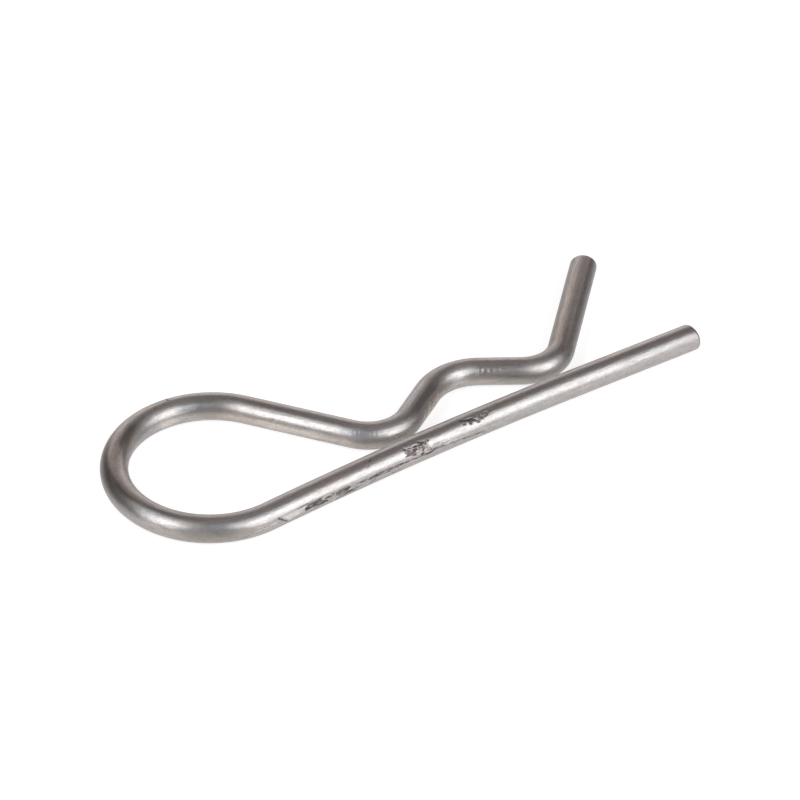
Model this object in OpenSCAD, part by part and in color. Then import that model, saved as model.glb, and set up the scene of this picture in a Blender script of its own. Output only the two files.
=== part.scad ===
// Hitch R clip pin, bent from one length of round wire. All sizes in millimetres.
// It lies flat: Z is up, X runs along the straight leg towards its tip, and the wave is on the +Y side.

/* [Wire] */
// Diameter of the wire
wire_d = 4; // [3:0.1:5]
// Radius on the rim of both cut ends
rim_r = 0.4; // [0.2:0.1:1]
// How much thinner the wire is where it is bent, over its diameter
bend_thinning = 0.02; // [0.02:0.01:0.1]

/* [Straight leg] */
// Length of the true straight at the leg's tip, which goes through the shaft
tip_len = 21.6; // [16:0.1:34]
// Length of the leg's bowed stretch
bow_len = 49.8; // [40:0.1:60]
// Angle that the bow turns, away from the wave
bow_angle = 4.9; // [2:0.1:8]
// Short straight between the bow and the loop
loop_lead = 2.2; // [1:0.1:6]

/* [Loop] */
// Inside diameter of the pull loop
loop_d = 23.2; // [20:0.1:30]
// Angle at which the wire comes back to the straight leg
neck_angle = 51.7; // [44:0.1:60]

/* [Wave] */
// Gap left at the throat, over the line of the straight tip
throat_gap = 0.5; // [0.3:0.1:1.5]
// Inside radius of the throat's bend
throat_r = 4.5; // [3:0.1:5.5]
// Angle of the slope from the throat up to the seat
rise_angle = 33.4; // [28:0.1:42]
// Shaft that the seat takes before the clip springs open
shaft_d = 17.3; // [16:0.1:22]
// Inside radius of the bend over the shaft
seat_r = 6.3; // [4:0.1:7]
// Angle of the slope from the seat down to the mouth
fall_angle = 30.5; // [25:0.1:38]
// Gap left at the mouth, over the line of the straight tip
mouth_gap = 1.5; // [0.5:0.1:2.5]
// Inside radius of the mouth's bend
mouth_r = 4.2; // [3:0.1:5.5]

/* [Flare] */
// Angle between the flared end and the straight tip
flare_angle = 46.7; // [35:0.1:60]
// Length of the flared end
flare_len = 20.9; // [12:0.1:26]

/* [Hidden] */
$fn = 48;

// How far a straight runs on inside the slightly thinner bend beside it
land = 0.1;

// Radii to the wire's centre
bow_R = bow_len / (bow_angle * PI / 180);
loop_R = (loop_d + wire_d) / 2;
throat_R = throat_r + wire_d / 2;
seat_R = seat_r + wire_d / 2;
mouth_R = mouth_r + wire_d / 2;

// Heights of the wire's centre over the line of the straight tip
throat_h = wire_d + throat_gap;
seat_h = (shaft_d + wire_d) / 2;
mouth_h = wire_d + mouth_gap;
loop_start_h = -bow_R * (1 - cos(bow_angle)) - loop_lead * sin(bow_angle);
loop_mid_h = loop_start_h + loop_R * cos(bow_angle);
loop_end_h = loop_mid_h + loop_R * cos(neck_angle);

// Length of a slope that drops or climbs by h between two bends that meet it at the angle a
function slope(h, radii, a) = (h - radii * (1 - cos(a))) / sin(a);
neck_len = slope(loop_end_h - throat_h, throat_R, neck_angle);
rise_len = slope(seat_h - throat_h, throat_R + seat_R, rise_angle);
fall_len = slope(seat_h - mouth_h, seat_R + mouth_R, fall_angle);

// Distance from the tip to the middle of the loop, and the length over all
loop_mid_x = tip_len + (bow_R + loop_R) * sin(bow_angle) + loop_lead * cos(bow_angle);
overall_len = loop_mid_x + loop_R + wire_d / 2;

// The wire from tip to tip. Each row is a straight, then the centre radius and the angle of the bend
// that follows it, to the left where the angle is positive and to the right where it is negative.
RUN = [
    [tip_len, bow_R, bow_angle],
    [loop_lead, loop_R, -(180 + bow_angle + neck_angle)],
    [neck_len, throat_R, neck_angle + rise_angle],
    [rise_len, seat_R, -(rise_angle + fall_angle)],
    [fall_len, mouth_R, fall_angle + flare_angle],
    [flare_len]
];

// Half the outline of a cut end, its rim rounded, from the end face down to the full wire
module end_profile(len) {
    r = wire_d / 2;
    square([r - rim_r, len]);
    translate([0, rim_r]) square([r, len - rim_r]);
    translate([r - rim_r, rim_r]) circle(r = rim_r);
}

// A straight that starts at the origin and runs along +X, with a cut end at its start
module tip(len)
    rotate([0, 90, 0])
        rotate_extrude()
            intersection() {
                end_profile(len + land);
                square([wire_d, len + land]);
            }

// A straight between two bends, along +X from the origin
module straight(len)
    translate([-land, 0, 0])
        rotate([0, 90, 0])
            cylinder(d = wire_d, h = len + 2 * land);

// A bend that starts at the origin heading along +X
module bend(R, turn)
    mirror([0, turn < 0 ? 1 : 0, 0])
        translate([0, R, 0])
            rotate([0, 0, -90])
                rotate_extrude(angle = abs(turn), $fn = max(72, 8 * 360 / abs(turn)))
                    translate([R, 0])
                        circle(d = wire_d - bend_thinning);

// Puts its children at the far end of such a bend, heading onwards
module past(R, turn)
    translate([0, sign(turn) * R, 0])
        rotate([0, 0, turn])
            translate([0, -sign(turn) * R, 0])
                children();

// The run from one row on to its last
module run(rows, i = 0) {
    len = rows[i][0];
    last = i == len(rows) - 1;
    if (i == 0) tip(len);
    else if (last) translate([len, 0, 0]) mirror([1, 0, 0]) tip(len);
    else straight(len);
    if (!last) translate([len, 0, 0]) {
        bend(rows[i][1], rows[i][2]);
        past(rows[i][1], rows[i][2]) run(rows, i + 1);
    }
}

// The clip, lying flat with the middle of its length and of its loop over the origin
module clip()
    color([0.66, 0.65, 0.63])
        translate([overall_len / 2, -loop_mid_h, wire_d / 2])
            rotate([0, 0, 180])
                run(RUN);

clip();
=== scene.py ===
"""The look of a hitch R clip: one bent length of bright drawn wire, scuffed along its straight leg."""

import math

import bpy
import numpy as np
from mathutils import Matrix, Vector


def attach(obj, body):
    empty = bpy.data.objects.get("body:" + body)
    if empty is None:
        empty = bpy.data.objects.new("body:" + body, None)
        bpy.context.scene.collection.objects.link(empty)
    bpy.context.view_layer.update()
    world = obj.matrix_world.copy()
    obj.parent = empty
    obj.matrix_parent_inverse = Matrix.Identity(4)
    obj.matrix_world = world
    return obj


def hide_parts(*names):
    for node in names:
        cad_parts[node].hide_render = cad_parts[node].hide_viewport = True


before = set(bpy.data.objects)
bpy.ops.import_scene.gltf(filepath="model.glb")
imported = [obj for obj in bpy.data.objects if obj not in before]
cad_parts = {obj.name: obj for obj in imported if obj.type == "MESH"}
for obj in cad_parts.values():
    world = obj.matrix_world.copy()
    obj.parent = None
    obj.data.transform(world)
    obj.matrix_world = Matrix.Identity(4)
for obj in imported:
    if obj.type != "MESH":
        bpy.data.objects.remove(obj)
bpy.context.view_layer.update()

MM = 0.001

# The wire's driving sizes in millimetres and degrees, the same as the solid's
WIRE_D = 4.0
RIM_R = 0.4
TIP_LEN = 21.6
BOW_LEN, BOW_ANGLE = 49.8, 4.9
LOOP_LEAD = 2.2
LOOP_D, NECK_ANGLE = 23.2, 51.7
THROAT_GAP, THROAT_R = 0.5, 4.5
RISE_ANGLE, SHAFT_D, SEAT_R = 33.4, 17.3, 6.3
FALL_ANGLE, MOUTH_GAP, MOUTH_R = 30.5, 1.5, 4.2
FLARE_ANGLE, FLARE_LEN = 46.7, 20.9

WIRE_R = WIRE_D / 2
GIRTH = math.pi * WIRE_D

# The camera of the photograph, in metres and degrees, its lens and sensor in millimetres
CAM_AZIMUTH, CAM_ELEVATION, CAM_ROLL = -33.193, 38.477, 0.856
CAM_DISTANCE, CAM_LENS, CAM_SENSOR = 0.6907, 217.6, 36.0
CAM_AIM = Vector((0.00107, -0.00134, 0.002))

# How far short of a stretch's start a ring still counts as on it, in millimetres
ROUNDING = 1e-9


def rad(degrees):
    """Degrees in radians."""
    return degrees * math.pi / 180


def wire_run():
    """The wire's stretches from its straight tip on, each a length in millimetres and a left turn in
    radians, and the point at which the tip's middle lies."""
    bow_r = BOW_LEN / rad(BOW_ANGLE)
    loop_r = (LOOP_D + WIRE_D) / 2
    throat_r, seat_r, mouth_r = THROAT_R + WIRE_R, SEAT_R + WIRE_R, MOUTH_R + WIRE_R
    throat_h, mouth_h = WIRE_D + THROAT_GAP, WIRE_D + MOUTH_GAP
    seat_h = (SHAFT_D + WIRE_D) / 2
    angles = (BOW_ANGLE, NECK_ANGLE, RISE_ANGLE, FALL_ANGLE, FLARE_ANGLE)
    bow, neck, rise, fall, flare = (rad(angle) for angle in angles)
    loop_start_h = -bow_r * (1 - math.cos(bow)) - LOOP_LEAD * math.sin(bow)
    loop_mid_h = loop_start_h + loop_r * math.cos(bow)
    loop_end_h = loop_mid_h + loop_r * math.cos(neck)

    def slope(height, radii, angle):
        return (height - radii * (1 - math.cos(angle))) / math.sin(angle)

    def bend(radius, turn):
        return radius * abs(turn), turn

    run = [
        (TIP_LEN, 0.0),
        bend(bow_r, bow),
        (LOOP_LEAD, 0.0),
        bend(loop_r, -(math.pi + bow + neck)),
        (slope(loop_end_h - throat_h, throat_r, neck), 0.0),
        bend(throat_r, neck + rise),
        (slope(seat_h - throat_h, throat_r + seat_r, rise), 0.0),
        bend(seat_r, -(rise + fall)),
        (slope(seat_h - mouth_h, seat_r + mouth_r, fall), 0.0),
        bend(mouth_r, fall + flare),
        (FLARE_LEN, 0.0),
    ]
    loop_mid_x = TIP_LEN + (bow_r + loop_r) * math.sin(bow) + LOOP_LEAD * math.cos(bow)
    start = ((loop_mid_x + loop_r + WIRE_R) / 2, -loop_mid_h)
    return run, start


RUN, START = wire_run()
WIRE_LEN = sum(length for length, turn in RUN)


def follow(s):
    """The middle of the wire and its heading at the distances s from the straight tip."""
    x, y, heading = (np.zeros_like(s) for _ in range(3))
    at, px, py, h = 0.0, START[0], START[1], math.pi
    for length, turn in RUN:
        here = s >= at - ROUNDING
        d = s[here] - at
        if turn:
            r = length / turn
            t = h + d / r
            x[here] = px + r * (np.sin(t) - math.sin(h))
            y[here] = py - r * (np.cos(t) - math.cos(h))
            heading[here] = t
            px += r * (math.sin(h + turn) - math.sin(h))
            py -= r * (math.cos(h + turn) - math.cos(h))
        else:
            x[here] = px + d * math.cos(h)
            y[here] = py + d * math.sin(h)
            heading[here] = h
            px += length * math.cos(h)
            py += length * math.sin(h)
        at, h = at + length, h + turn
    return x, y, heading


# The skin's grid. Round the wire: degrees between which it is fine, and the steps there and on the rest.
FINE_FROM, FINE_TO = -35, 105
AROUND_FINE, AROUND_COARSE = 58, 34
# Along the wire: millimetres between two rings inside the fine zones and outside them, and those zones
RING_FINE, RING_COARSE = 0.11, 0.36
FINE_ZONES = ((35.5, 78.2), (117.9, 127.9), (145.4, 149.8), (170.6, 174.6))
# On a cut end: the share of the full radius that each ring of the flat face has, and the steps of the rim
FACE_SHARES = (0.22, 0.40, 0.56, 0.68, 0.76)
RIM_STEPS = 6
# The bake map: rows that the unrolled wire is cut into, and the gap between them in millimetres
MAP_ROWS, MAP_GAP = 4, 0.5


def smooth(low, high, value):
    """Eased step from 0 at low to 1 at high."""
    t = np.clip((value - low) / (high - low), 0, 1)
    return t * t * (3 - 2 * t)


def plateau(low, high, fade, value):
    """1 between low and high and 0 outside them, eased over the fade at both ends."""
    return smooth(low, low + fade, value) * (1 - smooth(high - fade, high, value))


def turned_from(phi, degrees):
    """Angle from a direction round the wire, from minus half a turn to half a turn."""
    return np.mod(phi - rad(degrees) + math.pi, 2 * math.pi) - math.pi


def cloud(s, arc, cell, seed):
    """Seamless soft noise from 0 to 1 over the unrolled wire, with lumps about one cell across."""
    around = max(4, round(GIRTH / cell))
    grid = np.random.default_rng(seed).random((int(WIRE_LEN / cell) + 4, around))
    u, v = s / cell + 1, arc / GIRTH * around
    i, j = np.floor(u).astype(int), np.floor(v).astype(int)
    fu, fv = u - i, v - j
    fu, fv = fu * fu * (3 - 2 * fu), fv * fv * (3 - 2 * fv)
    i = np.clip(i, 0, grid.shape[0] - 2)
    low = grid[i, j % around] * (1 - fv) + grid[i, (j + 1) % around] * fv
    high = grid[i + 1, j % around] * (1 - fv) + grid[i + 1, (j + 1) % around] * fv
    return low * (1 - fu) + high * fu


def broken(mask, noise, least, gain):
    """The mask broken up by a noise: the share of it that is left where the noise is 0, and its gain."""
    return mask * (least + gain * noise)


# Wear on the wire: a stroke runs from one place to another, each given as millimetres from the straight tip
# and degrees round the wire, then its width in millimetres and its strength
GALLED = (
    ((35.9, 80), (36.5, 70), 0.45, 0.80),
    ((36.6, 70), (37.6, 58), 0.45, 0.70),
    ((37.6, 73), (38.0, 60), 0.42, 0.70),
    ((36.8, 61), (38.0, 50), 0.55, 0.65),
    ((39.7, 68), (38.4, 52), 0.70, 1.0),
    ((40.7, 82), (39.8, 74), 0.65, 1.0),
    ((40.1, 68), (40.3, 58), 0.40, 0.55),
    ((46.9, 57), (48.4, 58), 0.75, 0.90),
    ((47.9, 66), (48.3, 58), 0.40, 0.85),
    ((48.0, 54), (48.2, 42), 0.85, 0.85),
    ((48.6, 61), (49.3, 54), 0.60, 0.80),
    ((49.1, 54), (49.9, 49), 0.55, 0.70),
    ((48.2, 36), (48.3, 27), 0.65, 0.85),
    ((49.4, 49), (50.3, 46), 0.60, 0.85),
    ((50.3, 46), (50.7, 32), 0.80, 0.90),
    ((49.9, 38), (49.7, 27), 0.60, 0.95),
    ((50.9, 34), (50.5, 28), 0.45, 0.70),
    ((47.4, 50), (50.2, 42), 2.0, 0.34),
    ((46.8, 22), (47.3, 17), 0.50, 0.60),
)
DRAGGED = (
    ((44.2, 19), (46.4, 15), 0.30, 0.50),
    ((44.6, 26), (46.6, 23), 0.24, 0.42),
    ((45.2, 33), (46.8, 31), 0.22, 0.36),
    ((61.4, 8), (63.3, 9), 0.80, 1.0),
    ((61.4, 12), (62.4, 14), 0.40, 0.8),
    ((61.5, 3), (61.3, -14), 0.34, 0.80),
    ((60.0, -13), (61.2, -8), 0.55, 0.65),
    ((61.8, -15), (63.0, -19), 0.45, 0.60),
    ((64.0, 13), (64.8, 6), 0.42, 0.85),
    ((64.6, 6), (64.9, -6), 0.50, 0.85),
    ((65.2, -4), (66.6, -5), 0.34, 0.70),
    ((65.2, 2), (66.6, 7), 0.55, 0.95),
    ((65.8, 15), (68.2, 12), 0.60, 1.0),
    ((66.2, 3), (68.3, 3), 0.65, 1.0),
    ((67.0, 9), (68.3, 8), 0.45, 0.9),
    ((68.1, 22), (69.4, 20), 0.40, 0.60),
    ((37.8, -4), (41.6, 1), 0.34, 0.60),
    ((46.6, 5), (51.6, 7), 0.26, 0.50),
    ((52.0, 9), (54.6, 8), 0.56, 0.64),
    ((52.4, 5), (53.8, 5), 0.30, 0.48),
    ((55.2, 9), (57.6, 9), 0.50, 0.62),
    ((58.2, 9), (59.4, 9), 0.40, 0.50),
    ((56.8, -5), (57.4, -11), 0.40, 0.55),
    ((52.6, -15), (54.6, -19), 0.40, 0.45),
    ((55.6, -13), (57.6, -17), 0.44, 0.42),
    ((66.0, -15), (67.2, -19), 0.40, 0.42),
)
STREAKS = (
    ((41.0, 3), (52.0, 9), 0.20, 0.70),
    ((42.5, 9), (47.0, 12), 0.16, 0.60),
    ((43.0, 0), (49.0, 3), 0.14, 0.55),
    ((41.5, -9), (46.5, -8), 0.18, 0.50),
    ((52.0, 12), (60.5, 12), 0.14, 0.60),
    ((53.0, 2), (60.0, 3), 0.14, 0.50),
    ((59.0, -5), (68.5, -9), 0.16, 0.55),
    ((62.5, -2), (64.6, -2), 0.20, 0.60),
    ((30.0, -14), (38.0, -12), 0.16, 0.40),
)
NICKS = (
    ((56.0, 86), (56.6, 77), 0.30, 1.0),
    ((56.6, 77), (57.3, 54), 0.18, 0.55),
    ((73.2, 19), (71.8, -15), 0.24, 1.0),
    ((118.6, 84), (118.7, 50), 0.24, 1.0),
    ((134.1, 163), (134.7, 156), 0.22, 0.8),
    ((151.4, 160), (151.8, 172), 0.30, 0.7),
    ((22.0, 64), (21.7, 56), 0.30, 0.35),
    ((29.6, 66), (29.6, 54), 0.35, 0.45),
    ((171.1, 158), (171.1, 130), 0.12, 0.5),
    ((174.6, 131), (176.1, 132), 0.16, 0.5),
)
RUBBED = (
    ((42.6, 16), (46.8, 20), 0.50, 0.45),
    ((43.6, 30), (46.6, 27), 0.30, 0.40),
    ((62.4, -7), (63.6, -6), 0.55, 0.50),
    ((73.6, 4), (76.6, 2), 0.22, 0.60),
    ((49.1, 42), (49.3, 37), 0.40, 0.70),
    ((47.7, 64), (47.9, 60), 0.30, 0.55),
    ((46.9, 33), (46.3, 25), 0.40, 0.45),
    ((157.8, 186), (159.1, 149), 0.36, 1.0),
    ((156.4, 178), (157.4, 152), 0.26, 0.8),
    ((159.4, 182), (160.6, 154), 0.26, 0.8),
    ((160.9, 176), (161.5, 161), 0.32, 0.7),
    ((174.7, 127), (176.0, 127), 0.12, 0.5),
)
TOOL_PATCHES = (
    ((170.4, 180), (173.6, 178), 1.4, 0.8),
    ((113.6, 77), (116.6, 73), 1.0, 0.3),
)
# A flat scraped across the wire: where it starts and ends at 0 degrees, how far each of those leans over 10
# degrees round the wire, over what length each fades, how torn it starts and how deep it is, all in
# millimetres, then where it faces in degrees, the depths between which its long edges fade, and how far a
# scrape on it runs along the wire and round it
SCRAPED_FLAT = {
    "from": 69.2, "from_lean": -0.85, "from_fade": 1.2,
    "to": 72.3, "to_lean": 0.45, "to_fade": 0.3,
    "torn": 1.3, "depth": 0.08, "facing": 3.0,
    "rim": (0.004, -0.02), "slant": (0.75, 0.65),
}
# Cross ribs left by the bending tool: from, to, lowest and highest angle, pitch and height
RIBS = (
    (119.9, 127.9, 112, 162, 0.47, 0.004),
    (145.6, 149.6, 108, 164, 0.52, 0.006),
    (170.9, 173.9, 128, 162, 0.80, 0.019),
)
# How the ribs fade out along the wire and round it, in millimetres and degrees, and how far they wander
RIB_FADE, RIB_FADE_DEG, RIB_WANDER = 0.3, 9, 0.2
# Painted light and shade: soft patches that make the steel's colour lighter or darker, warmer or cooler,
# standing in for reflections and shade. Millimetres along and degrees round the wire, half length in
# millimetres, half width in degrees, how light, how warm
PAINTED_LIGHT_PATCHES = (
    (82.0, -8, 5.5, 32, 0.80, 0.8),
    (196.0, 151, 13.0, 14, 0.78, 0.3),
    (196.0, 173, 14.0, 13, 0.86, 0.2),
    (196.0, 132, 14.0, 6, 1.24, 0.1),
    (196.0, 70, 14.0, 45, 0.94, 0.9),
    (103.0, 85, 10.0, 45, 1.02, 0.8),
    (133.0, 183, 15.0, 24, 1.06, 0.9),
    (117.2, 184, 2.6, 22, 1.36, 0.2),
    (124.3, 186, 2.6, 18, 0.85, 0.6),
    (137.5, 184, 9.0, 20, 1.24, 0.3),
    (168.3, 171, 2.4, 17, 1.42, 0.2),
    (172.8, 168, 3.0, 10, 1.24, 0.5),
    (177.6, 169, 3.0, 10, 1.16, 0.5),
    (185.8, 183, 2.6, 14, 1.22, 0.1),
    (81.6, 46, 2.9, 20, 0.92, -1.0),
    (95.6, 66, 3.2, 13, 0.66, 0.2),
    (98.0, 28, 3.6, 12, 0.76, 0.2),
    (108.8, 112, 3.8, 16, 0.58, 0.3),
    (108.5, 144, 4.5, 12, 1.24, 0.6),
    (121.0, 140, 2.2, 20, 0.64, -0.8),
    (124.8, 143, 2.8, 20, 0.84, -0.5),
    (147.4, 136, 2.2, 16, 1.03, -1.0),
    (151.6, 164, 3.4, 14, 1.60, 0.3),
    (158.5, 142, 5.0, 13, 1.28, 0.5),
    (158.5, 108, 5.5, 9, 0.82, 0.3),
    (181.0, 163, 2.8, 13, 1.75, 0.2),
    (181.6, 141, 2.2, 16, 1.10, 0.0),
    (186.6, 103, 3.0, 13, 0.76, 0.4),
    (4.0, 44, 13.0, 20, 0.80, 0.0),
    (145.9, 138, 1.8, 18, 0.74, -0.8),
    (159.0, 170, 6.0, 28, 0.90, 0.9),
    (176.0, 190, 4.0, 22, 0.90, 1.0),
)
# Shares of a painted patch's half size where it starts to fade and where it is gone
PAINTED_CORE, PAINTED_EDGE = 0.35, 1.3

# Depths and heights of the wear in millimetres, and how much wider than its pits a lip is
GALL_DEPTH, NICK_DEPTH, STREAK_DEPTH, RUB_DEPTH, PATCH_DEPTH = 0.045, 0.06, 0.025, 0.015, 0.008
LIP_HEIGHT, SCRAPE_HEIGHT = 0.014, 0.006
LIP_WIDTH = 1.8
# How dark streaks and nicks are beside galled steel, and how much of the dark the scraped flat has taken off
THIN_DARK, FLAT_CLEARED = 0.9, 0.9
# A stroke's edge: size of its tears in millimetres, and shares of its width where it fades and where it ends
TEAR_CELL, STROKE_CORE, STROKE_EDGE = 0.42, 0.28, 0.62
# How far each cut face leans, over the distance to the side, at the straight tip and at the flared end, and
# between which distances from the end the lean fades out
END_TILT = (0.144, -0.07)
TILT_FADE = (0.2, 3.0)
# Height of the cutter's marks on the end faces in millimetres, and the place in the noise that they use
CUT_ROUGHNESS, CUT_NOISE_AT = 0.05, 40
# Centre radius of a bend that counts as fully tight, and how far from a bend's ends its look starts to ease
TIGHT_R, BEND_EASE = 6.5, 0.5


def stroke_mask(s, arc, strokes, ragged, seed, drawn_out=1.0):
    """How far each point lies inside the strokes, from 0 to 1, with edges torn by the given millimetres, and
    more along the wire than across it where the tears are drawn out."""
    cell = TEAR_CELL / math.sqrt(drawn_out)
    shift = cloud(s / drawn_out, arc, cell, seed) - 0.5, cloud(s / drawn_out, arc, cell, seed + 1) - 0.5
    s = s + ragged * drawn_out * shift[0]
    arc = arc + ragged / drawn_out * shift[1]
    mask = np.zeros_like(s)
    for (s0, d0), (s1, d1), width, strength in strokes:
        a0, a1 = rad(d0) * WIRE_R, rad(d1) * WIRE_R
        near = np.mod(arc - a0 + GIRTH / 2, GIRTH) - GIRTH / 2 + a0
        long2 = (s1 - s0) ** 2 + (a1 - a0) ** 2
        t = np.clip(((s - s0) * (s1 - s0) + (near - a0) * (a1 - a0)) / long2, 0, 1)
        gap = np.hypot(s - s0 - t * (s1 - s0), near - a0 - t * (a1 - a0))
        mask = np.maximum(mask, strength * (1 - smooth(STROKE_CORE * width, STROKE_EDGE * width, gap)))
    return mask


def ribs(s, arc, degrees):
    """Height of the bending tool's cross ribs."""
    height = np.zeros_like(s)
    wobble = cloud(s, arc, cell=1.4, seed=81) - 0.5
    for low, high, from_deg, to_deg, pitch, rise in RIBS:
        within = plateau(low, high, RIB_FADE, s) * plateau(from_deg, to_deg, RIB_FADE_DEG, degrees)
        wave = np.sin(2 * math.pi * ((s - low) / pitch + RIB_WANDER * wobble))
        height += rise * within * wave * (1 + wobble)
    return height


def scraped_flat(s, arc, phi):
    """Height of the scraped flat off the round wire, and how bare it is scraped at each point."""
    flat = SCRAPED_FLAT
    turned = turned_from(phi, flat["facing"])
    front = np.maximum(np.cos(turned), 0.3)  # only the side that faces the flat matters
    plane = (WIRE_R - flat["depth"]) / front - WIRE_R
    tens = (np.degrees(turned) + flat["facing"]) / 10
    start, stop = flat["from"] + flat["from_lean"] * tens, flat["to"] + flat["to_lean"] * tens
    torn = flat["torn"] * (cloud(0.7 * s, arc, cell=0.4, seed=91) - 0.5)
    ends = smooth(start, start + flat["from_fade"], s + torn)
    ends = ends * (1 - smooth(stop - flat["to_fade"], stop, s + 0.4 * torn))
    a, b = flat["slant"]
    slanted = cloud(0.3 * (a * s + b * arc), np.mod(a * arc - b * s, GIRTH), cell=0.38, seed=93)
    bare = broken(ends * smooth(*flat["rim"], plane), slanted, least=0.30, gain=1.10)
    scraped = SCRAPE_HEIGHT * bare * (cloud(0.2 * s, arc, cell=0.12, seed=92) - 0.5)
    return np.minimum(plane, 0) * ends + scraped, bare


def wear(s, phi):
    """Height off the round wire in millimetres, and the dark, rubbed and smeared masks."""
    arc = np.mod(phi * WIRE_R, GIRTH)
    pits = 0.6 * cloud(s, arc, cell=0.30, seed=21) + 0.4 * cloud(s, arc, cell=0.16, seed=22)
    galled = stroke_mask(s, arc, GALLED, ragged=0.8, seed=31)
    galled = np.clip(broken(galled, pits, least=0.45, gain=1.2), 0, 1)
    fibres = 0.55 * cloud(0.28 * s, arc, cell=0.17, seed=45) + 0.45 * cloud(0.5 * s, arc, cell=0.28, seed=46)
    dragged = stroke_mask(s, arc, DRAGGED, ragged=0.45, seed=33, drawn_out=2.6)
    galled = np.clip(np.maximum(galled, broken(dragged, fibres, least=0.35, gain=1.2)), 0, 1)
    streaks = stroke_mask(s, arc, STREAKS, ragged=0.3, seed=41, drawn_out=2.6)
    streaks = broken(streaks, cloud(0.4 * s, arc, cell=0.4, seed=43), least=0.4, gain=0.9)
    nicks = stroke_mask(s, arc, NICKS, ragged=0.12, seed=51)
    rubbed = stroke_mask(s, arc, RUBBED, ragged=0.35, seed=61)
    patches = stroke_mask(s, arc, TOOL_PATCHES, ragged=0.8, seed=71)
    wider = [(a, b, LIP_WIDTH * width, strength) for a, b, width, strength in GALLED]
    lips = stroke_mask(s, arc, wider, ragged=0.9, seed=31) * (1 - galled)
    height = LIP_HEIGHT * lips * pits - GALL_DEPTH * broken(galled, pits, least=0.3, gain=1.4)
    height -= STREAK_DEPTH * streaks + NICK_DEPTH * nicks + RUB_DEPTH * rubbed + PATCH_DEPTH * patches
    height += ribs(s, arc, np.degrees(phi))
    flat, bare = scraped_flat(s, arc, phi)
    rubbed = np.clip(np.maximum(rubbed, bare), 0, 1)
    dark = np.clip(galled + THIN_DARK * (streaks + nicks), 0, 1) * (1 - FLAT_CLEARED * bare * (1 - nicks))
    return height + flat, dark, rubbed, patches


def painted_light_at(s, phi):
    """How light, where 1 is the plain steel, and how warm, from -1 to 1, the painted light and shade make
    each point.
    """
    light, warm = np.ones_like(s), np.zeros_like(s)
    arc = np.mod(phi * WIRE_R, GIRTH)
    ragged = 0.7 + 0.6 * cloud(s, arc, cell=1.6, seed=96)
    for place, degrees, half_long, half_wide, lighter, warmer in PAINTED_LIGHT_PATCHES:
        reach = np.hypot((s - place) / half_long, turned_from(phi, degrees) / rad(half_wide)) * ragged
        share = 1 - smooth(PAINTED_CORE, PAINTED_EDGE, reach)
        light *= 1 + (lighter - 1) * share
        warm += warmer * share
    return light, np.clip(warm, -1, 1)


def bent(s):
    """How tightly the wire is bent at each place, from 0 on a straight to 1 in the tightest bends."""
    places, values, at = [], [], 0.0
    for length, turn in RUN:
        places += [at + BEND_EASE, at + length - BEND_EASE]
        values += [TIGHT_R * abs(turn) / length] * 2
        at += length
    return np.clip(np.interp(s, places, values), 0, 1)


def cut_lean(s, side, up, on_face):
    """How far the cut ends' tilt and the cutter's marks push each point along the wire."""
    near, far = TILT_FADE
    near_tip, near_flare = 1 - smooth(near, far, s), smooth(WIRE_LEN - far, WIRE_LEN - near, s)
    tilt = near_flare * END_TILT[1] * side - near_tip * END_TILT[0] * side
    marks = cloud(CUT_NOISE_AT + side, np.mod(0.35 * up, GIRTH), cell=0.30, seed=95) - 0.5
    marks = CUT_ROUGHNESS * marks * on_face
    return tilt + np.where(s < WIRE_LEN / 2, -marks, marks)


def ring_places():
    """Distance along the wire of each ring, and the share of the full radius that it has."""
    angles = np.linspace(0, math.pi / 2, RIM_STEPS + 1)
    rim = [(RIM_R * (1 - math.sin(a)), 1 - RIM_R / WIRE_R * (1 - math.cos(a))) for a in angles[::-1]]
    end = [(0.0, share) for share in FACE_SHARES] + rim
    stretches, at = [], RIM_R
    for low, high in FINE_ZONES:
        stretches += [(at, low, RING_COARSE), (low, high, RING_FINE)]
        at = high
    stretches.append((at, WIRE_LEN - RIM_R, RING_COARSE))
    along = [np.linspace(a, b, math.ceil((b - a) / step) + 1)[1:] for a, b, step in stretches]
    along = np.concatenate(along)[:-1]
    return np.array(end + [(s, 1.0) for s in along] + [(WIRE_LEN - s, share) for s, share in end[::-1]])


def ring_angles():
    """Angles round the wire, closer together on the worn front side."""
    fine = np.linspace(FINE_FROM, FINE_TO, AROUND_FINE + 1)[:-1]
    coarse = np.linspace(FINE_TO, FINE_FROM + 360, AROUND_COARSE + 1)[:-1]
    return np.radians(np.concatenate([fine, coarse]))


def wire_faces(rings, across):
    """Quads between the rings, then a fan on each cut end round its middle point. The middles come last."""
    i = np.arange(rings - 1)[:, None] * across
    j = np.arange(across)
    k = (j + 1) % across
    quads = np.stack([i + j, i + across + j, i + across + k, i + k], axis=-1).reshape(-1, 4).tolist()
    first, base = rings * across, (rings - 1) * across
    pairs = list(zip(j.tolist(), k.tolist()))
    return quads + [(first, a, b) for a, b in pairs] + [(first + 1, base + b, base + a) for a, b in pairs]


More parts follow.
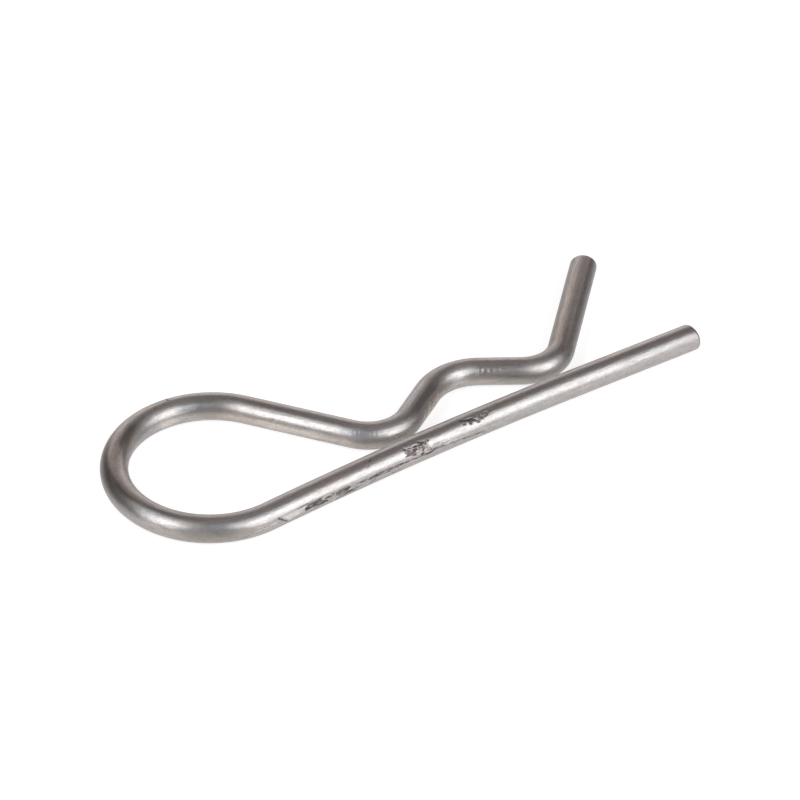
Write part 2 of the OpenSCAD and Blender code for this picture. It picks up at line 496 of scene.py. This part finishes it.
def bake_map(mesh, s, share, phi):
    """Lays the unrolled wire out flat in rows, and the two cut ends beside them."""
    row, rings, across = WIRE_LEN / MAP_ROWS, len(s), len(phi)
    turn = np.append(phi, phi[0] + 2 * math.pi) - phi[0]

    def on_end(end, reach, t):
        """A point on the disc of the straight tip's end, 0, or the flare's, 1."""
        cx, cy = row + 2 * MAP_GAP + WIRE_R, MAP_GAP + WIRE_R + end * (WIRE_D + MAP_GAP)
        return cx + reach * math.cos(turn[t]), cy + reach * math.sin(turn[t])

    uv = []
    for i in range(rings - 1):
        on_tip, on_flare = i < len(FACE_SHARES), i >= rings - 1 - len(FACE_SHARES)
        k = min(MAP_ROWS - 1, int((s[i] + s[i + 1]) / 2 / row))
        for j in range(across):
            for r, t in ((i, j), (i + 1, j), (i + 1, j + 1), (i, j + 1)):
                if on_tip or on_flare:
                    uv.append(on_end(int(on_flare), share[r] * WIRE_R, t))
                else:
                    uv.append((MAP_GAP + s[r] - k * row, MAP_GAP + k * (GIRTH + MAP_GAP) + turn[t] * WIRE_R))
    for end, order in ((0, (0, 1)), (1, (1, 0))):
        for j in range(across):
            uv.append(on_end(end, 0, j))
            uv += [on_end(end, share[0] * WIRE_R, j + step) for step in order]
    layer = mesh.uv_layers.new(name="OFBake")
    layer.uv.foreach_set("vector", (np.array(uv) / (row + 3 * MAP_GAP + WIRE_D)).ravel())


def wire_mesh():
    """The swept wire with its wear and cut ends, and where each point lies on the wire before bending."""
    places, phi = ring_places(), ring_angles()
    s, share = places[:, 0], places[:, 1]
    along, angle = np.meshgrid(s, phi, indexing="ij")
    height, dark, rubbed, patches = wear(along, angle)
    # painted light and shade: how light and how warm the patches make the steel
    light, warm = painted_light_at(along, angle)
    full = share[:, None]
    on_face = full < (FACE_SHARES[-1] + 1 - RIM_R / WIRE_R) / 2
    radius = WIRE_R * full + np.where(on_face, 0, height)
    side, up = radius * np.cos(angle), radius * np.sin(angle)
    lean = cut_lean(along, side, up, on_face)
    x, y, heading = (values[:, None] for values in follow(s))

    def points(columns, tip_middle, flare_middle):
        """One row for each point of the rings, then those of the two end faces' middles."""
        rows = np.stack(columns, axis=-1).reshape(-1, 3)
        return np.concatenate([rows, [tip_middle, flare_middle]])

    co = [x - np.sin(heading) * side + np.cos(heading) * lean,
          y + np.cos(heading) * side + np.sin(heading) * lean,
          WIRE_R + up]
    co = points(co, *([axis[ring].mean() for axis in co] for ring in (0, -1))) * MM
    attributes = {
        "straight": points((along, side, up), (0, 0, 0), (WIRE_LEN, 0, 0)) * MM,
        "worn": points((dark, rubbed, patches), (0, 0, 0), (0, 0, 0)),
        # painted light and shade and its warmth, then how tightly the wire is bent
        "painted_light_and_bend": points((light, warm, bent(along)), (1, 0, 0), (1, 0, 0)),
    }
    mesh = bpy.data.meshes.new("bent_wire")
    mesh.from_pydata(co.tolist(), [], wire_faces(len(s), len(phi)))
    for name, values in attributes.items():
        mesh.attributes.new(name, "FLOAT_VECTOR", "POINT").data.foreach_set("vector", values.ravel())
    bake_map(mesh, s, share, phi)
    mesh.shade_smooth()
    return mesh


class Nodes:
    """Short calls for a material's nodes and links."""

    def __init__(self, name):
        self.material = bpy.data.materials.new(name)
        self.material.use_nodes = True
        self.tree = self.material.node_tree
        self.tree.nodes.clear()
        self.out = self.add("ShaderNodeOutputMaterial")

    def add(self, kind, **settings):
        node = self.tree.nodes.new(kind)
        for key, value in settings.items():
            setattr(node, key, value)
        return node

    def feed(self, socket, value):
        """Links an output to the socket, or sets a plain value on it."""
        if isinstance(value, bpy.types.NodeSocket):
            self.tree.links.new(value, socket)
        else:
            socket.default_value = value

    def fed(self, node, inputs):
        """The node with values fed to its inputs, by their names or numbers."""
        for key, value in inputs.items():
            self.feed(node.inputs[key], value)
        return node

    def attribute(self, name):
        return self.add("ShaderNodeAttribute", attribute_name=name).outputs["Vector"]

    def parts(self, vector):
        return self.fed(self.add("ShaderNodeSeparateXYZ"), {0: vector}).outputs

    def math(self, operation, a, b=0.0, clamp=False):
        node = self.add("ShaderNodeMath", operation=operation, use_clamp=clamp)
        return self.fed(node, {0: a, 1: b}).outputs[0]

    def total(self, terms):
        """The sum of all the terms."""
        result, *others = terms
        for term in others:
            result = self.math("ADD", result, term)
        return result

    def vector(self, operation, *inputs):
        node = self.add("ShaderNodeVectorMath", operation=operation)
        return self.fed(node, dict(enumerate(inputs))).outputs[0]

    def scaled(self, vector, factor):
        node = self.add("ShaderNodeVectorMath", operation="SCALE")
        return self.fed(node, {0: vector, "Scale": factor}).outputs[0]

    def noise(self, vector, detail, rough):
        inputs = {"Vector": vector, "Scale": 1.0, "Detail": detail, "Roughness": rough}
        return self.fed(self.add("ShaderNodeTexNoise"), inputs).outputs["Fac"]

    def band(self, value, low, high, to_low=0.0, to_high=1.0):
        """The value mapped from between low and high to between two others, and held at their ends."""
        node = self.add("ShaderNodeMapRange")
        return self.fed(node, dict(enumerate((value, low, high, to_low, to_high)))).outputs[0]

    def mix(self, factor, a, b):
        node = self.add("ShaderNodeMix", data_type="RGBA")
        return self.fed(node, {0: factor, 6: a, 7: b}).outputs[2]


STEEL = (0.416, 0.395, 0.384, 1)
STEEL_WARM = (0.423, 0.385, 0.365, 1)
STEEL_COOL = (0.401, 0.395, 0.401, 1)
WARM_TINT = (0.04, -0.01, -0.07)
GALL_COLOUR = (0.20, 0.172, 0.165, 1)
DEEP_COLOUR = (0.095, 0.078, 0.075, 1)
RUB_COLOUR = (0.72, 0.675, 0.645, 1)
PATCH_COLOUR = (0.44, 0.398, 0.362, 1)
# How far the wear's colours cover the steel, apart from the deepest pits
WEAR_COVER = 0.8
# The steel's noises: how fine each is along the wire and across it, per metre, its detail and its roughness
STEEL_NOISE = {
    "lines": (420.0, 5600.0, 2.0, 0.6),
    "long_lines": (60.0, 2300.0, 1.0, 0.5),
    "grain": (3200.0, 4600.0, 2.0, 0.7),
    "mottle": (900.0, 1300.0, 2.0, 0.6),
    "grime": (1250.0, 2300.0, 2.0, 0.65),
    "cast": (140.0, 380.0, 2.0, 0.5),
    "cool": (117.0, 338.0, 1.0, 0.5),
    "crumbs": (5200.0, 5200.0, 2.0, 0.6),
    "drag": (1300.0, 7000.0, 2.0, 0.6),
}
# Between which values of its noise the steel turns warm, and cool, and how far
WARM_BAND, COOL_BAND = (0.42, 0.68), (0.55, 0.75, 0.0, 0.7)
# What the noises add up to in the steel's shade and in its roughness: each between two of its values, and
# what it adds at those
SHADE_BANDS = (
    ("lines", 0.3, 0.7, 0.90, 1.08),
    ("grain", 0.3, 0.7, -0.14, 0.12),
    ("long_lines", 0.3, 0.7, -0.02, 0.02),
    ("grime", 0.32, 0.6, -0.08, 0.03),
)
ROUGH_BANDS = (
    ("lines", 0.3, 0.7, 0.40, 0.34),
    ("grain", 0.3, 0.7, 0.03, -0.03),
    ("mottle", 0.3, 0.7, -0.02, 0.02),
    ("long_lines", 0.3, 0.7, -0.02, 0.02),
    ("cast", 0.3, 0.7, -0.02, 0.02),
)
# The least of that roughness, and what tight bends, rubbed steel and galled steel add to it
ROUGH_LEAST = 0.27
ROUGH_BENT, ROUGH_RUBBED, ROUGH_GALLED = 0.06, 0.10, 0.10
# Each noise's share in the bump, the share of the drag lines on galled and on rubbed steel, and the bump's
# strength and height in metres
BUMP_SHARES = {"lines": 0.45, "grain": 0.55, "mottle": 0.4, "long_lines": 0.6}
BUMP_GALLED, BUMP_RUBBED = 1.6, 0.8
BUMP_STRENGTH, BUMP_HEIGHT = 0.8, 0.00004
# How far drag lines and crumbs tear the edges of the wear, and between which values of a mask they do
TEAR_DRAG, TEAR_CRUMBS, TEAR_BAND = 1.5, 0.7, (0.02, 0.30)
# Between which values of its torn mask each kind of wear sets in
GALLED_BAND, DEEP_BAND, RUBBED_BAND = (0.22, 0.62), (0.66, 1.02), (0.05, 0.85)


def wire_steel():
    """Satin drawn stainless: fine lines along the wire, grain, soft warm and cool casts, painted light and
    shade, and its wear.
    """
    n = Nodes("drawn_stainless")
    at = n.attribute("straight")
    dark_mask, rubbed_mask, patch = n.parts(n.attribute("worn"))
    # how light and warm the painted light and shade make the steel, and how tightly it is bent
    light, warm, tight = n.parts(n.attribute("painted_light_and_bend"))
    noise = {name: n.noise(n.vector("MULTIPLY", at, (fine_along, fine_across, fine_across)), detail, rough)
             for name, (fine_along, fine_across, detail, rough) in STEEL_NOISE.items()}
    ragged = n.math("ADD", n.math("MULTIPLY", n.math("SUBTRACT", noise["drag"], 0.5), TEAR_DRAG),
                    n.math("MULTIPLY", n.math("SUBTRACT", noise["crumbs"], 0.5), TEAR_CRUMBS))

    def torn(mask, band):
        """The mask with ragged edges, from 0 to 1 over the band."""
        return n.band(n.math("ADD", mask, n.math("MULTIPLY", ragged, n.band(mask, *TEAR_BAND))), *band)

    def banded(rows):
        """What the noises of the rows add up to."""
        return n.total([n.band(noise[name], *band) for name, *band in rows])

    galled, deep = torn(dark_mask, GALLED_BAND), torn(dark_mask, DEEP_BAND)
    rubbed = torn(rubbed_mask, RUBBED_BAND)
    colour = n.mix(n.band(noise["cast"], *WARM_BAND), STEEL, STEEL_WARM)
    colour = n.mix(n.band(noise["cool"], *COOL_BAND), colour, STEEL_COOL)
    colour = n.vector("MULTIPLY", colour, n.vector("MULTIPLY_ADD", warm, WARM_TINT, (1.0, 1.0, 1.0)))
    # the painted light and shade darken or lighten the steel's colour here
    colour = n.scaled(colour, n.math("MULTIPLY", banded(SHADE_BANDS), light))
    for mask, worn_colour in ((patch, PATCH_COLOUR), (rubbed, RUB_COLOUR), (galled, GALL_COLOUR)):
        colour = n.mix(n.math("MULTIPLY", mask, WEAR_COVER), colour, worn_colour)
    colour = n.mix(deep, colour, DEEP_COLOUR)
    rough = [n.math("MAXIMUM", banded(ROUGH_BANDS), ROUGH_LEAST)]
    rough += [n.math("MULTIPLY", mask, more) for mask, more in
              ((tight, ROUGH_BENT), (rubbed, ROUGH_RUBBED), (galled, ROUGH_GALLED))]
    scuffed = n.math("ADD", n.math("MULTIPLY", galled, BUMP_GALLED), n.math("MULTIPLY", rubbed, BUMP_RUBBED))
    height = [n.math("MULTIPLY", noise[name], share) for name, share in BUMP_SHARES.items()]
    height.append(n.math("MULTIPLY", noise["drag"], scuffed))
    bump = n.fed(n.add("ShaderNodeBump"), {
        "Strength": BUMP_STRENGTH, "Distance": BUMP_HEIGHT, "Height": n.total(height)})
    shader = n.fed(n.add("ShaderNodeBsdfPrincipled"), {
        "Metallic": 1.0, "Base Color": colour, "Roughness": n.total(rough), "Normal": bump.outputs[0]})
    n.feed(n.out.inputs[0], shader.outputs[0])
    return n.material


# The floor, in metres: its width, and how far under the clip it lies
FLOOR_SIZE, FLOOR_DROP = 60.0, 0.00001
FLOOR_COLOUR = (0.43, 0.417, 0.410, 1)
FLOOR_GLOW = 0.755
FLOOR_GLOSS, FLOOR_GLOSS_ROUGHNESS = (0.62, 0.62, 0.62, 1), 0.45
# How grazing the view is where the gloss starts and stops to grow, and its shares there
FLOOR_GLOSS_BAND = (0.38, 0.84, 0.12, 0.68)


def floor_paper():
    """Satin white paper. It takes shadows. To the camera, gloss and glass it is a little whiter than it is
    lit, and what the metal sees of it at a grazing angle turns to soft gloss."""
    n = Nodes("white_floor")
    path = n.add("ShaderNodeLightPath").outputs
    seen = n.math("ADD", path["Is Camera Ray"], path["Is Glossy Ray"])
    seen = n.math("ADD", seen, path["Is Transmission Ray"], clamp=True)
    paper = n.fed(n.add("ShaderNodeBsdfDiffuse"), {"Color": FLOOR_COLOUR})
    glow = n.fed(n.add("ShaderNodeEmission"), {"Strength": n.math("MULTIPLY", seen, FLOOR_GLOW)})
    both = n.fed(n.add("ShaderNodeAddShader"), {0: paper.outputs[0], 1: glow.outputs[0]})
    gloss = n.fed(n.add("ShaderNodeBsdfGlossy"), {"Color": FLOOR_GLOSS, "Roughness": FLOOR_GLOSS_ROUGHNESS})
    share = n.band(n.add("ShaderNodeLayerWeight").outputs["Facing"], *FLOOR_GLOSS_BAND)
    share = n.math("MULTIPLY", share, n.math("SUBTRACT", 1.0, path["Is Camera Ray"]))
    satin = n.fed(n.add("ShaderNodeMixShader"), {0: share, 1: both.outputs[0], 2: gloss.outputs[0]})
    n.feed(n.out.inputs[0], satin.outputs[0])
    return n.material


def make_floor():
    """A wide flat sheet under the clip."""
    mesh = bpy.data.meshes.new("floor")
    h = FLOOR_SIZE / 2
    mesh.from_pydata([(-h, -h, 0), (h, -h, 0), (h, h, 0), (-h, h, 0)], [], [(0, 1, 2, 3)])
    floor = bpy.data.objects.new("floor", mesh)
    floor.location.z = -FLOOR_DROP
    mesh.materials.append(floor_paper())
    bpy.context.collection.objects.link(floor)


LAMP_WHITE = (0.945, 0.972, 1.0)
CARD_WARM = (1.0, 0.95, 0.95)
CARD_COOL = (0.98, 0.975, 1.0)
# The soft lights: azimuth and elevation of the middle, width and height, all in degrees as the clip sees
# them, then radiance, colour and roll. They stand at one distance, in metres.
LIGHTS = {
    "left_softbox": (-83, 35, 21, 45, 6.3, LAMP_WHITE, 12),
    "left_top_softbox": (-117, 62, 14, 16, 3.5, LAMP_WHITE, 4),
    "right_softbox": (23.3, 34, 44, 51, 3.6, LAMP_WHITE, 1),
    "right_card": (80, 6, 34, 28, 0.13, CARD_WARM, 0),
    "back_card": (145.2, 14.8, 65.5, 37, 1.24, CARD_WARM, 10),
    "front_card": (-37.5, 15.5, 42, 42, 0.37, CARD_COOL, 0),
    "top_card": (96, 70, 65, 20, 0.46, CARD_WARM, -3),
}
LIGHT_DISTANCE = 1.0
ROOM_COLOUR = (0.046, 0.0325, 0.028, 1)


def direction(azimuth, elevation):
    """Unit vector out from the clip, azimuth 0 towards -Y and 90 towards +X."""
    a, e = rad(azimuth), rad(elevation)
    return Vector((math.sin(a) * math.cos(e), -math.cos(a) * math.cos(e), math.sin(e)))


def softbox(name, azimuth, elevation, wide, tall, radiance, colour, roll):
    """A soft rectangular light that covers wide by tall degrees as seen from the clip."""
    light = bpy.data.lights.new(name, "AREA")
    light.shape = "RECTANGLE"
    light.color = colour
    light.size = 2 * LIGHT_DISTANCE * math.tan(rad(wide / 2))
    light.size_y = 2 * LIGHT_DISTANCE * math.tan(rad(tall / 2))
    light.energy = radiance * math.pi * light.size * light.size_y
    lamp = bpy.data.objects.new(name, light)
    away = direction(azimuth, elevation)
    lamp.location = away * LIGHT_DISTANCE
    turn = away.to_track_quat("Z", "Y").to_matrix() @ Matrix.Rotation(rad(roll), 3, "Z")
    lamp.rotation_euler = turn.to_euler()
    bpy.context.collection.objects.link(lamp)
    lamp.visible_camera = False


def make_lights():
    """The soft lights and the dim room behind them."""
    for name, row in LIGHTS.items():
        softbox(name, *row)
    world = bpy.data.worlds.new("studio")
    world.use_nodes = True
    world.node_tree.nodes["Background"].inputs[0].default_value = ROOM_COLOUR
    bpy.context.scene.world = world


def make_camera():
    """The photograph's camera."""
    data = bpy.data.cameras.new("camera")
    data.lens, data.sensor_width = CAM_LENS, CAM_SENSOR
    camera = bpy.data.objects.new("camera", data)
    back = direction(CAM_AZIMUTH, CAM_ELEVATION)
    right = Vector((math.cos(rad(CAM_AZIMUTH)), math.sin(rad(CAM_AZIMUTH)), 0))
    up = back.cross(right)
    cos, sin = math.cos(rad(CAM_ROLL)), math.sin(rad(CAM_ROLL))
    turn = Matrix((cos * right + sin * up, cos * up - sin * right, back)).transposed().to_4x4()
    camera.matrix_world = Matrix.Translation(CAM_AIM + back * CAM_DISTANCE) @ turn
    bpy.context.collection.objects.link(camera)
    bpy.context.scene.camera = camera


def make_wire():
    wire = bpy.data.objects.new("bent_wire", wire_mesh())
    wire.data.materials.append(wire_steel())
    bpy.context.collection.objects.link(wire)
    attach(wire, "root")
    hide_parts("clip")


make_camera()
make_floor()
make_lights()
make_wire()
bpy.context.scene.view_settings.view_transform = "Standard"
